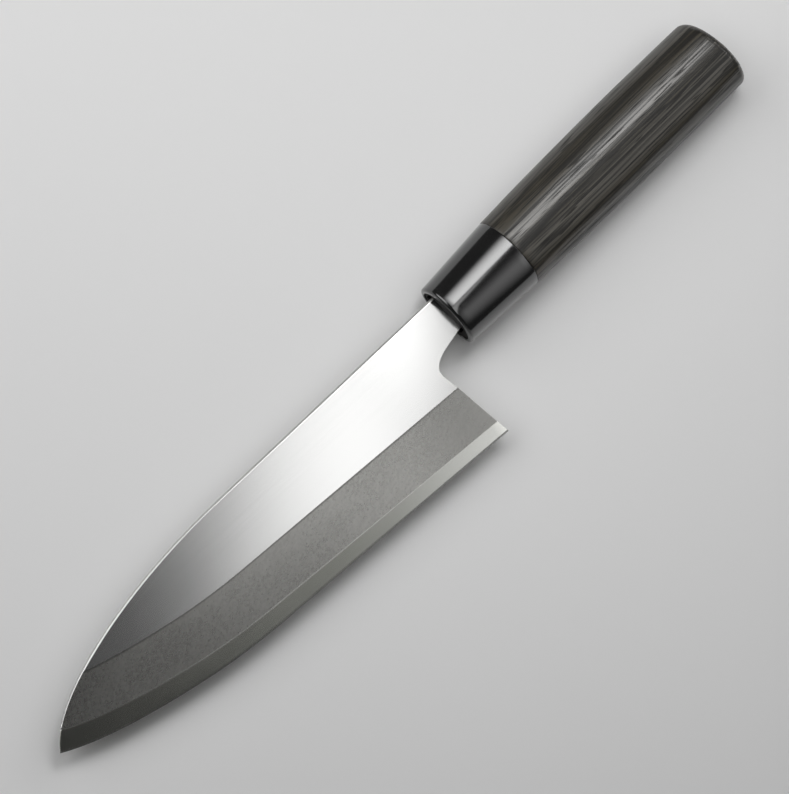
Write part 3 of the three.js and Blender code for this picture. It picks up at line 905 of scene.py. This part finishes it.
class BladeSkin:
    """The blade's front, shared out between its two layers."""

    def __init__(self, shape):
        self.shape = shape
        sizes = shape.sizes
        reach = shape.layer_reach(shape.bevel_top)
        heel_top = (shape.heel_x, shape.spine_height(shape.heel_x))
        heel_foot = (shape.heel_x, shape.edge_height(shape.heel_x))
        lines = [shape.edge_line(away) for away in (sizes.micro_width, reach, sizes.bevel_width)]
        lines.append(straight(heel_top, heel_foot, 20 * MM))
        self.points, self.faces = triangles_inside(shape.outline, lines + shape.ease_lines())
        self.front = shape.front_height(self.points)
        layer = sizes.layer_thickness
        self.front = np.where(np.abs(self.front - layer) < 2e-7, layer, self.front)
        self.zones = self.zones_of_faces(reach)
        self.clad = [self.is_clad(face, zone) for face, zone in zip(self.faces, self.zones)]

    def zones_of_faces(self, reach):
        """Names the zone that each face of the front lies in."""
        shape = self.shape
        middles = np.array([self.points[face].mean(axis=0) for face in self.faces])
        gap, stretch, along = nearest(middles, shape.long_edge)
        layer_gap = along_path(reach, stretch, along)
        in_ease = shape.eased(middles)[1]
        zones = []
        for middle, away, layer, rim in zip(middles, gap, layer_gap, in_ease):
            if away < shape.sizes.micro_width:
                zones.append("small_bevel")
            elif away < layer:
                zones.append("edge_band")
            elif rim:
                zones.append("rim")
            elif away < shape.sizes.bevel_width:
                zones.append("bevel")
            else:
                zones.append("neck" if middle[0] > shape.heel_x else "flat")
        return zones

    def place(self, number, height):
        return (self.points[number][0], self.points[number][1], height)

    def is_clad(self, face, zone):
        """Whether the soft layer still has some thickness under a face."""
        thick = self.front[face].max() > self.shape.sizes.layer_thickness
        return thick and zone not in ("small_bevel", "edge_band")

    def cladding(self):
        """The soft layer: the front down to the plane where the hard layer begins."""
        skin = Skin()
        layer = self.shape.sizes.layer_thickness
        clad = [(face, zone) for face, zone, kept in zip(self.faces, self.zones, self.clad) if kept]
        for face, zone in clad:
            skin.face([self.place(k, max(self.front[k], layer)) for k in face], zone)
            skin.face([self.place(k, layer) for k in reversed(face)], "seam")
        for first, second in border([face for face, zone in clad]):
            top = [self.place(k, max(self.front[k], layer)) for k in (second, first)]
            low = [self.place(k, layer) for k in (first, second)]
            skin.face(top + low, "wall")
        return skin

    def edge_steel(self):
        """The hard layer: the edge's bevels, the seam under the soft layer, walls and the hollow back."""
        skin = Skin()
        shape = self.shape
        layer = shape.sizes.layer_thickness
        top = np.minimum(self.front, layer)
        under = {k for face, kept in zip(self.faces, self.clad) if kept for k in face}
        top[list(under)] = layer
        for face, zone, kept in zip(self.faces, self.zones, self.clad):
            skin.face([self.place(k, top[k]) for k in face], "seam" if kept else zone)
        sides = border(self.faces)
        loop = ordered(sides)
        outline = self.points[loop]
        back = dict(zip(loop, shape.back_height(outline)))
        for first, second in sides:
            upper = [self.place(k, top[k]) for k in (second, first)]
            lower = [self.place(k, back[k]) for k in (first, second)]
            skin.face(upper + lower, "wall")
        self.add_back(skin, outline)
        return skin

    def add_back(self, skin, outline):
        """The back of the blade, inside the same outline as the front."""
        shape = self.shape
        rings = [shape.hollow_ring(out) for out in shape.hollow_rings]
        points, faces = triangles_inside(outline, shape.ease_lines() + rings)
        heights = shape.back_height(points)
        middles = np.array([points[face].mean(axis=0) for face in faces])
        hollow = shape.hollow_share(middles) < 1
        rim = shape.eased(middles)[1]
        for face, in_hollow, in_rim in zip(faces, hollow, rim):
            zone = "hollow" if in_hollow else "back_rim" if in_rim else "back"
            skin.face([(points[k][0], points[k][1], heights[k]) for k in reversed(face)], zone)


def add_tang(skin, shape):
    """The end of the neck and the tang, hidden in the handle."""
    sizes = shape.sizes
    high = shape.spine_height(sizes.neck_end)
    low = shape.neck_height(sizes.neck_end)
    middle = (high + low) / 2
    half = sizes.tang_width / 2
    end_half = sizes.tang_end_width / 2
    end_x = sizes.neck_end + sizes.tang_length
    stations = [
        (sizes.neck_insert, low, high, sizes.neck_thickness),
        (sizes.neck_end, low, high, sizes.neck_thickness),
        (sizes.neck_end, middle - half, middle + half, sizes.neck_thickness),
        (end_x, middle - end_half, middle + end_half, sizes.tang_end_thickness),
    ]
    rings = [[(x, a, 0.0), (x, b, 0.0), (x, b, top), (x, a, top)] for x, a, b, top in stations]
    skin.face(list(reversed(rings[0])), "tang")
    skin.face(rings[-1], "tang")
    for here, there in zip(rings, rings[1:]):
        for k in range(4):
            following = (k + 1) % 4
            skin.face([here[k], here[following], there[following], there[k]], "tang")


# The D-section and what follows it


# How many points each piece of the section has, and where it begins in a full turn
PIECES_ROUND_SECTION = (24, 16, 8, 12, 44)
PIECE_STARTS = (0.0, 0.25, 0.40, 0.44, 0.5, 1.0)

# What each point of a bare tube holds, and the sizes that the section's nodes take
ROW_ATTRIBUTES = ("along", "size_at", "drawn_in", "around", "follows")
STATIONS = ("mouth", "joint", "swell", "butt")
STATION_SIZES = ("height", "thickness", "drop", "ridge")
SECTION_INPUTS = (
    "handle_length",
    "ferrule_length",
    "swell_from_butt",
    "ridge_set_back",
    "tallest_set_back",
    "ridge_round",
    "butt_slant",
    "butt_bulge",
    *(f"{station}_{size}" for station in STATIONS for size in STATION_SIZES),
)


def section_places():
    """Places round the D-section: the whole number is the piece, the rest the share of the way along."""
    places = []
    for piece, count in enumerate(PIECES_ROUND_SECTION):
        places.extend(piece + k / count for k in range(count))
    return places


class Row:
    """One row of a tube. It follows the D-section, or keeps the ring it is given."""

    def __init__(self, along, size_at=None, drawn_in=0.0, ring=None):
        self.along = along
        self.size_at = along if size_at is None else size_at
        self.drawn_in = drawn_in
        self.ring = ring


def rounded_rows(start, radius, steps, toward_front):
    """Rows of a quarter round, drawn in at the front or at the back end."""
    rows = []
    for k in range(steps + 1):
        turn = math.pi / 2 * k / steps
        if toward_front:
            rows.append(Row(start + radius * (1 - math.cos(turn)), drawn_in=radius * (1 - math.sin(turn))))
        else:
            rows.append(Row(start - radius * (1 - math.sin(turn)), drawn_in=radius * (1 - math.cos(turn))))
    return rows


def evenly(start, end, count):
    """Rows of the plain section, evenly spaced and without their ends."""
    return [Row(start + (end - start) * k / count) for k in range(1, count)]


def bare_tube(name, rows, closed):
    """A mesh of rows and columns with the attributes that the section's nodes read."""
    columns = section_places()
    count = len(columns)
    total = len(rows)
    places = []
    for row in rows:
        places.extend(row.ring if row.ring else [(row.along, 0.0, 0.0)] * count)
    faces = []
    for r in range(total if closed else total - 1):
        for c in range(count):
            here = r * count
            there = (r + 1) % total * count
            following = (c + 1) % count
            faces.append((here + c, here + following, there + following, there + c))
    if not closed:
        faces.append(tuple(reversed(range(count))))
        faces.append(tuple(range((total - 1) * count, total * count)))
    mesh = bpy.data.meshes.new(name)
    mesh.from_pydata(places, [], faces)
    held = {
        "along": [row.along for row in rows for _ in columns],
        "size_at": [row.size_at for row in rows for _ in columns],
        "drawn_in": [row.drawn_in for row in rows for _ in columns],
        "around": columns * total,
        "follows": [0.0 if row.ring else 1.0 for row in rows for _ in columns],
    }
    for title, values in held.items():
        mesh.attributes.new(title, "FLOAT", "POINT").data.foreach_set("value", values)
    return mesh


def quadratic(first, control, last, time):
    """A place on a quadratic curve, for numbers or flows."""
    rest = 1 - time
    return first * rest * rest + control * (2 * rest * time) + last * time * time


def section_tree():
    """Nodes that draw the D-section along the handle: tapered in the ferrule, swelling in the grip."""
    tree = bpy.data.node_groups.new("d_section_handle", "GeometryNodeTree")
    tree.interface.new_socket(name="Geometry", in_out="OUTPUT", socket_type="NodeSocketGeometry")
    tree.interface.new_socket(name="Geometry", in_out="INPUT", socket_type="NodeSocketGeometry")
    tree.interface.new_socket(name="Finish", in_out="INPUT", socket_type="NodeSocketMaterial")
    for title in SECTION_INPUTS:
        tree.interface.new_socket(name=title, in_out="INPUT", socket_type="NodeSocketFloat")
    nodes = Tree(tree)
    entry = nodes.node("NodeGroupInput")
    given = {title: Flow(nodes, entry.outputs[title]) for title in SECTION_INPUTS}
    number = {"data_type": "FLOAT"}
    held = {}
    for title in ROW_ATTRIBUTES:
        held[title] = nodes.flow("GeometryNodeInputNamedAttribute", 0, number, {"Name": title})
    swell_x = given["handle_length"] - given["swell_from_butt"]

    def size_along(size):
        """Height, thickness, drop or ridge of the section at size_at."""
        mouth, joint, swell, butt = [given[f"{station}_{size}"] for station in STATIONS]
        place = held["size_at"]
        in_ferrule = place < given["ferrule_length"]
        before_swell = place < swell_x
        taper = mouth + (joint - mouth) * (place / given["ferrule_length"])
        far = before_swell * given["ferrule_length"] + (1 - before_swell) * given["handle_length"]
        least = before_swell * joint + (1 - before_swell) * butt
        away = (swell_x - place) / (swell_x - far)
        grip = swell - (swell - least) * (away * away)
        return in_ferrule * taper + (1 - in_ferrule) * grip

    half = size_along("height") * 0.5 - held["drawn_in"]
    front = size_along("thickness") * 0.5 - held["drawn_in"]
    across, out = section_point(held["around"], half, front, size_along("ridge"), given)
    near_butt = held["along"].step(swell_x, given["handle_length"])
    slanted = held["along"] + (given["butt_bulge"] - across * given["butt_slant"]) * near_butt
    parts = {"X": slanted, "Y": across - size_along("drop"), "Z": out}
    place = nodes.flow("ShaderNodeCombineXYZ", 0, None, parts)
    rows = Flow(nodes, entry.outputs["Geometry"])
    values = {"Geometry": rows, "Position": place, "Selection": held["follows"]}
    shaped = nodes.flow("GeometryNodeSetPosition", 0, None, values)
    moved = nodes.flow("GeometryNodeTransform", 0, None, {"Geometry": shaped, "Translation": tuple(MOUTH)})
    real = nodes.flow("GeometryNodeRealizeInstances", 0, None, {"Geometry": moved})
    finish = Flow(nodes, entry.outputs["Finish"])
    dressed = nodes.flow("GeometryNodeSetMaterial", 0, None, {"Geometry": real, "Material": finish})
    nodes.node("NodeGroupOutput", None, {"Geometry": dressed})
    return tree


def section_point(around, half, front, ridge_rise, given):
    """The D-section's point at a place round it, for a half height, a front depth and a ridge's height."""
    low = given["tallest_set_back"] * -1
    ridge_y = ridge_rise - half
    ridge_z = front - given["ridge_set_back"]
    control_z = ridge_z - ridge_rise
    eased = given["ridge_round"] / half
    shares = [around - piece for piece in range(len(PIECES_ROUND_SECTION))]
    top_turn = shares[0] * (math.pi / 2)
    back_turn = shares[4] * math.pi
    face_end = 1 - eased
    foot_start = eased * 2
    on_face = shares[1] * face_end
    on_foot = foot_start + shares[3] * (1 - foot_start)
    foot = half * -1
    ease_y = [
        quadratic(0, ridge_y * 0.5, ridge_y, face_end),
        quadratic(ridge_y, foot, foot, foot_start),
    ]
    ease_z = [
        quadratic(front, front, ridge_z, face_end),
        quadratic(ridge_z, control_z, low, foot_start),
    ]
    across = [
        half * top_turn.cosine(),
        quadratic(0, ridge_y * 0.5, ridge_y, on_face),
        quadratic(ease_y[0], ridge_y, ease_y[1], shares[2]),
        quadratic(ridge_y, foot, foot, on_foot),
        foot * back_turn.cosine(),
    ]
    out = [
        low + (front - low) * top_turn.sine(),
        quadratic(front, front, ridge_z, on_face),
        quadratic(ease_z[0], ridge_z, ease_z[1], shares[2]),
        quadratic(ridge_z, control_z, low, on_foot),
        low - (front + low) * back_turn.sine(),
    ]
    slack = 1e-4
    chosen = []
    for piece in range(len(across)):
        after = around > (piece - slack)
        before = around < (piece + 1 - slack)
        chosen.append(after * before)
    pick = [choice * value for choice, value in zip(chosen, across)]
    pick_out = [choice * value for choice, value in zip(chosen, out)]
    return sum(pick[1:], pick[0]), sum(pick_out[1:], pick_out[0])


def drawn_along_handle(name, rows, closed, sizes, finish):
    """Turns rows into a plain mesh through the section's nodes."""
    tree = section_tree()
    carrier = bpy.data.objects.new(name + "_rows", bare_tube(name + "_rows", rows, closed))
    bpy.context.scene.collection.objects.link(carrier)
    modifier = carrier.modifiers.new("section", "NODES")
    modifier.node_group = tree
    given = {title: getattr(sizes, title) for title in SECTION_INPUTS}
    given["Finish"] = finish
    for item in tree.interface.items_tree:
        if item.in_out == "INPUT" and item.name in given:
            modifier[item.identifier] = given[item.name]
    bpy.context.view_layer.update()
    evaluated = carrier.evaluated_get(bpy.context.evaluated_depsgraph_get())
    mesh = bpy.data.meshes.new_from_object(evaluated)
    mesh.name = name
    bpy.data.objects.remove(carrier)
    for title in ROW_ATTRIBUTES:
        mesh.attributes.remove(mesh.attributes[title])
    if enclosed_volume(mesh) < 0:
        mesh.flip_normals()
    for polygon in mesh.polygons:
        polygon.use_smooth = True
    mesh.set_sharp_from_angle(angle=SHARP_TURN)
    return mesh


def enclosed_volume(mesh):
    """Volume inside a closed mesh: negative where its faces point inward."""
    mesh.calc_loop_triangles()
    places = [vertex.co for vertex in mesh.vertices]
    total = 0.0
    for triangle in mesh.loop_triangles:
        first, second, third = [places[k] for k in triangle.vertices]
        total += first.dot(second.cross(third)) / 6
    return total


def box_ring(x, low, high):
    """A rectangular ring with as many points as the D-section, spread by their direction from its middle."""
    middle = [(low[k] + high[k]) / 2 for k in range(2)]
    half = [(high[k] - low[k]) / 2 for k in range(2)]
    ring = []
    for place in section_places():
        piece = int(place)
        start, end = PIECE_STARTS[piece : piece + 2]
        turn = 2 * math.pi * (start + (end - start) * (place - piece))
        reach = 1 / max(abs(math.cos(turn)), abs(math.sin(turn)))
        y = middle[0] + half[0] * reach * math.cos(turn)
        z = middle[1] + half[1] * reach * math.sin(turn)
        ring.append((x, y, z))
    return ring


def tang_ring(x, blade, margin):
    """The ring of the tang's section at a distance along it, grown by a margin."""
    share_along = (x - blade.neck_end) / blade.tang_length
    half = (blade.tang_width + (blade.tang_end_width - blade.tang_width) * share_along) / 2 + margin
    high = blade.spine_above_axis - blade.spine_rise * blade.neck_end
    low = blade.neck_fall * blade.neck_end - blade.neck_below_axis
    middle = (high + low) / 2
    low_corner = (middle - half, BLADE_BACK - margin)
    high_corner = (middle + half, BLADE_BACK + blade.neck_thickness + margin)
    return box_ring(x, low_corner, high_corner)


class KNIFE_OT_blade_cladding(bpy.types.Operator):
    """Builds the soft steel layer with the flat, the matt bevel, the neck and the tang"""

    bl_idname = "knife.blade_cladding"
    bl_label = "Blade cladding"

    def execute(self, context):
        sizes = context.scene.knife_blade
        shape = BladeShape(sizes)
        skin = BladeSkin(shape).cladding()
        add_tang(skin, shape)
        satin = satin_steel(tuple(sizes.satin_colour))
        matt = matt_steel(tuple(sizes.matt_colour))
        rubbed = rubbed_steel("rubbed_cladding", tuple(sizes.rim_colour_with_highlight))
        finishes = {"bevel": matt, "rim": rubbed, "wall": rubbed}
        finishes.update({zone: satin for zone in ("flat", "neck", "seam", "tang")})
        mesh = skin.mesh("blade_cladding_look", finishes, np.array((MOUTH.x, MOUTH.y, EDGE_LOW.z)))
        away = shape.from_edge(np.array(skin.places)[:, :2])[0]
        mesh.attributes.new(FROM_EDGE, "FLOAT", "POINT").data.foreach_set("value", away / sizes.bevel_width)
        as_piece("blade_cladding_look", mesh, "blade_cladding")
        return {"FINISHED"}


class KNIFE_OT_edge_steel(bpy.types.Operator):
    """Builds the hard steel layer with the bright edge and the hollowed back"""

    bl_idname = "knife.edge_steel"
    bl_label = "Edge steel"

    def execute(self, context):
        sizes = context.scene.knife_blade
        shape = BladeShape(sizes)
        skin = BladeSkin(shape).edge_steel()
        bright = bright_steel(tuple(sizes.bright_colour))
        plain = back_steel(tuple(sizes.bright_colour))
        rubbed = rubbed_steel("rubbed_edge_steel", tuple(sizes.rim_colour_with_highlight))
        finishes = {"small_bevel": bright, "edge_band": bright, "rim": rubbed, "wall": rubbed}
        finishes.update({zone: plain for zone in ("seam", "back", "back_rim", "hollow")})
        mesh = skin.mesh("edge_steel_look", finishes, np.array((MOUTH.x, MOUTH.y, EDGE_LOW.z)))
        away, top = shape.from_edge(np.array(skin.places)[:, :2])
        shares = away / shape.layer_reach(top)
        mesh.attributes.new(FROM_EDGE, "FLOAT", "POINT").data.foreach_set("value", shares)
        as_piece("edge_steel_look", mesh, "edge_steel")
        return {"FINISHED"}


class KNIFE_OT_ferrule(bpy.types.Operator):
    """Builds the black ferrule with its rounded rim"""

    bl_idname = "knife.ferrule"
    bl_label = "Ferrule"

    def execute(self, context):
        sizes = context.scene.knife_handle
        end = sizes.ferrule_length
        ease = sizes.joint_ease
        bore_ease = 0.25 * MM
        rows = rounded_rows(0.0, sizes.ferrule_rim, 6, True)
        rows += evenly(sizes.ferrule_rim, end - ease, 14)
        rows += rounded_rows(end, ease, 4, False)
        rows.append(Row(end, 0.0, sizes.ferrule_wall))
        rows.append(Row(bore_ease, 0.0, sizes.ferrule_wall))
        rows.append(Row(0.0, 0.0, sizes.ferrule_wall - bore_ease))
        finish = black_collar(tuple(sizes.collar_colour))
        mesh = drawn_along_handle("ferrule_look", rows, True, sizes, finish)
        as_piece("ferrule_look", mesh, "ferrule")
        return {"FINISHED"}


class KNIFE_OT_handle(bpy.types.Operator):
    """Builds the wooden grip with its tenon and the slot for the tang"""

    bl_idname = "knife.handle"
    bl_label = "Handle"

    def execute(self, context):
        sizes = context.scene.knife_handle
        blade = context.scene.knife_blade
        slot_end = blade.neck_end + blade.tang_length + sizes.resin_bed
        core = sizes.ferrule_wall + sizes.glue_gap
        rows = [Row(slot_end, ring=tang_ring(slot_end, blade, sizes.resin_bed))]
        rows.append(Row(sizes.tenon_start, ring=tang_ring(sizes.tenon_start, blade, sizes.resin_bed)))
        rows.append(Row(sizes.tenon_start, 0.0, core))
        rows.append(Row(sizes.ferrule_length, 0.0, core))
        rows += rounded_rows(sizes.ferrule_length, sizes.joint_ease, 4, True)
        rows += evenly(sizes.ferrule_length + sizes.joint_ease, sizes.handle_length - sizes.butt_round, 48)
        rows += rounded_rows(sizes.handle_length, sizes.butt_round, 14, False)
        finish = dark_wood(tuple(sizes.wood_dark), tuple(sizes.wood_light), tuple(sizes.wood_warm))
        mesh = drawn_along_handle("handle_look", rows, False, sizes, finish)
        as_piece("handle_look", mesh, "handle")
        return {"FINISHED"}


class KNIFE_OT_resin(bpy.types.Operator):
    """Builds the resin that beds the tang and closes the mouth of the ferrule"""

    bl_idname = "knife.resin"
    bl_label = "Tang resin"

    def execute(self, context):
        sizes = context.scene.knife_handle
        blade = context.scene.knife_blade
        gap = sizes.glue_gap
        bed = sizes.resin_bed - gap
        core = sizes.ferrule_wall + gap
        face = sizes.resin_set_back
        tang_end = blade.neck_end + blade.tang_length
        room = 1.3 * gap
        rim_in = 0.3 * MM
        rim_back = 0.25 * MM
        ends = sizes.slot_end_gap + gap
        low = (blade.neck_fall * face - blade.neck_below_axis - ends, BLADE_BACK - room)
        high = (blade.spine_above_axis + ends, BLADE_BACK + blade.neck_thickness + room)
        rows = [Row(x, ring=tang_ring(x, blade, gap)) for x in (tang_end + gap, blade.neck_end + gap)]
        rows += [Row(x, ring=box_ring(x, low, high)) for x in (blade.neck_end + gap, face)]
        rows.append(Row(face, 0.0, core + rim_in))
        rows.append(Row(face + rim_back, 0.0, core))
        rows.append(Row(sizes.tenon_start, 0.0, core))
        rows += [Row(x, ring=tang_ring(x, blade, bed)) for x in (sizes.tenon_start, tang_end + bed)]
        finish = mouth_resin(tuple(sizes.resin_colour))
        mesh = drawn_along_handle("tang_resin_look", rows, False, sizes, finish)
        as_piece("tang_resin_look", mesh, "tang_resin")
        return {"FINISHED"}


# Stage


def add_floor(tone):
    """A wide pale floor under the knife, with a faint unevenness in its paint."""

    def build(tree):
        mottle = tree.noise(tree.stretched((14, 14, 14)), 4.0, 0.55)
        return {
            "Base Color": tree.mix(mottle, scaled(tone, 0.985), tone),
            "Roughness": 0.75 + mottle * 0.1,
            "Specular IOR Level": 0.25,
        }

    half = FLOOR_HALF
    mesh = bpy.data.meshes.new("floor")
    drop = CAD_LOW.z - FLOOR_GAP
    corners = [(-half, -half, drop), (half, -half, drop), (half, half, drop), (-half, half, drop)]
    mesh.from_pydata(corners, [], [(0, 1, 2, 3)])
    mesh.materials.append(new_material("pale_floor", build))
    floor = bpy.data.objects.new("floor", mesh)
    bpy.context.scene.collection.objects.link(floor)


def add_room(horizon, ceiling):
    """The light of the room: brighter at the horizon than overhead."""
    world = bpy.data.worlds.new("room")
    world.use_nodes = True
    world.node_tree.nodes.clear()
    tree = Tree(world.node_tree)
    direction = tree.flow("ShaderNodeTexCoord", "Generated")
    parts = tree.node("ShaderNodeSeparateXYZ", None, {0: direction})
    up = Flow(tree, parts.outputs["Z"])
    tone = tree.mix((1 - up.held()) ** 2.5, ceiling, horizon)
    background = tree.node("ShaderNodeBackground", None, {"Color": tone})
    output = tree.node("ShaderNodeOutputWorld")
    world.node_tree.links.new(background.outputs[0], output.inputs[0])
    bpy.context.scene.world = world


def add_lamp(name, low, high, height, brightness, fades, leans=(0.0, 0.0)):
    """A soft rectangular lamp that hangs level and shines down. brightness is the radiance of its face, which
    fades out toward its sides: fades are the widths of that at low X, high X, low Y and high Y. leans are how
    far its ends at low X and at high X move along X for each unit along Y."""
    width = high[0] - low[0]
    depth = high[1] - low[1]
    light = bpy.data.lights.new(name, "AREA")
    light.shape = "RECTANGLE"
    light.size = width
    light.size_y = depth
    light.energy = brightness * math.pi * width * depth
    light.use_nodes = True
    light.node_tree.nodes.clear()
    tree = Tree(light.node_tree)
    on_face = tree.flow("ShaderNodeNewGeometry", "Parametric")
    place = tree.node("ShaderNodeSeparateXYZ", None, {0: on_face})
    across = Flow(tree, place.outputs["X"]) * width
    along = Flow(tree, place.outputs["Y"]) * depth
    from_high = depth - along
    sides = [across - along * leans[0], width - across - from_high * leans[1], along, from_high]
    soft = [side.step(0.0, fade) for side, fade in zip(sides, fades)]
    emission = tree.node("ShaderNodeEmission", None, {"Color": soft[0] * soft[1] * soft[2] * soft[3]})
    output = tree.node("ShaderNodeOutputLight")
    light.node_tree.links.new(emission.outputs[0], output.inputs[0])
    lamp = bpy.data.objects.new(name, light)
    lamp.location = ((low[0] + high[0]) / 2, (low[1] + high[1]) / 2, height)
    bpy.context.scene.collection.objects.link(lamp)


def add_lamps(stage):
    """The five lamps: each is there for one part of the knife, which its place and its fades follow."""
    height = LAMP_HEIGHT
    near = NEAR_LAMP_HEIGHT
    key_fades = (0.10, 0.10, 0.03, 0.54)
    flat_fades = (0.105, 0.012, 0.02, 0.02)
    edge_fades = (0.40, 0.06, 0.65, 0.35)
    spine_fades = (0.3, 0.16, 0.25, 0.4)
    fill_fades = (0.2, 0.2, 0.2, 0.2)
    flat_leans = (0.7, 0.8)
    add_lamp("key_lamp", (0.08, 0.10), (0.56, 0.74), height, stage.key_light, key_fades)
    add_lamp("flat_lamp", (-0.117, -0.065), (0.126, 0.05), near, stage.flat_light, flat_fades, flat_leans)
    add_lamp("edge_lamp", (-0.03, -0.95), (0.80, -0.02), height, stage.edge_light, edge_fades)
    add_lamp("spine_lamp", (-1.2, 0.25), (0.13, 2.0), height, stage.spine_light, spine_fades)
    add_lamp("fill_lamp", (0.85, -0.70), (1.60, 0.70), height, stage.fill_light, fill_fades)


def add_camera(stage):
    """The camera at the photograph's viewing angle."""
    view = Vector((
        -math.sin(stage.toward_tip) * math.cos(stage.toward_spine),
        math.sin(stage.toward_spine),
        math.cos(stage.toward_tip) * math.cos(stage.toward_spine),
    ))
    along = (Vector((1, 0, 0)) - view * view.x).normalized()
    up = view.cross(along)
    right = along * math.cos(stage.roll) - up * math.sin(stage.roll)
    above = along * math.sin(stage.roll) + up * math.cos(stage.roll)
    data = bpy.data.cameras.new("camera")
    data.sensor_width = SENSOR_WIDTH
    data.lens = stage.focal_pixels / max(PICTURE_WIDTH, PICTURE_HEIGHT) * SENSOR_WIDTH
    camera = bpy.data.objects.new("camera", data)
    turn = Matrix((right, above, view)).transposed().to_4x4()
    camera.matrix_world = Matrix.Translation(Vector(stage.aim) + view * stage.distance) @ turn
    bpy.context.scene.collection.objects.link(camera)
    bpy.context.scene.camera = camera


class KNIFE_OT_stage(bpy.types.Operator):
    """Sets up the floor, the room's light, the lamps and the camera"""

    bl_idname = "knife.stage"
    bl_label = "Stage"

    def execute(self, context):
        stage = context.scene.knife_stage
        add_floor(tuple(stage.floor_colour))
        add_room(tuple(stage.horizon_colour), tuple(stage.ceiling_colour))
        add_lamps(stage)
        add_camera(stage)
        context.scene.view_settings.view_transform = "Standard"
        return {"FINISHED"}


class KNIFE_PT_pieces(bpy.types.Panel):
    """Lists what builds the knife"""

    bl_idname = "KNIFE_PT_pieces"
    bl_label = "Kitchen knife"
    bl_space_type = "VIEW_3D"
    bl_region_type = "UI"
    bl_category = "Knife"

    def draw(self, context):
        for operator in OPERATORS:
            self.layout.operator(operator.bl_idname)


SETTINGS = {"knife_blade": BladeSettings, "knife_handle": HandleSettings, "knife_stage": StageSettings}
OPERATORS = (
    KNIFE_OT_blade_cladding,
    KNIFE_OT_edge_steel,
    KNIFE_OT_ferrule,
    KNIFE_OT_handle,
    KNIFE_OT_resin,
    KNIFE_OT_stage,
)
CLASSES = (*SETTINGS.values(), *OPERATORS, KNIFE_PT_pieces)


def register():
    for cls in CLASSES:
        bpy.utils.register_class(cls)
    for name, group in SETTINGS.items():
        setattr(bpy.types.Scene, name, bpy.props.PointerProperty(type=group))


def unregister():
    for name in SETTINGS:
        delattr(bpy.types.Scene, name)
    for cls in reversed(CLASSES):
        bpy.utils.unregister_class(cls)


def main():
    register()
    bpy.ops.knife.blade_cladding()
    bpy.ops.knife.edge_steel()
    bpy.ops.knife.ferrule()
    bpy.ops.knife.handle()
    bpy.ops.knife.resin()
    bpy.ops.knife.stage()


if __name__ == "__main__":
    main()
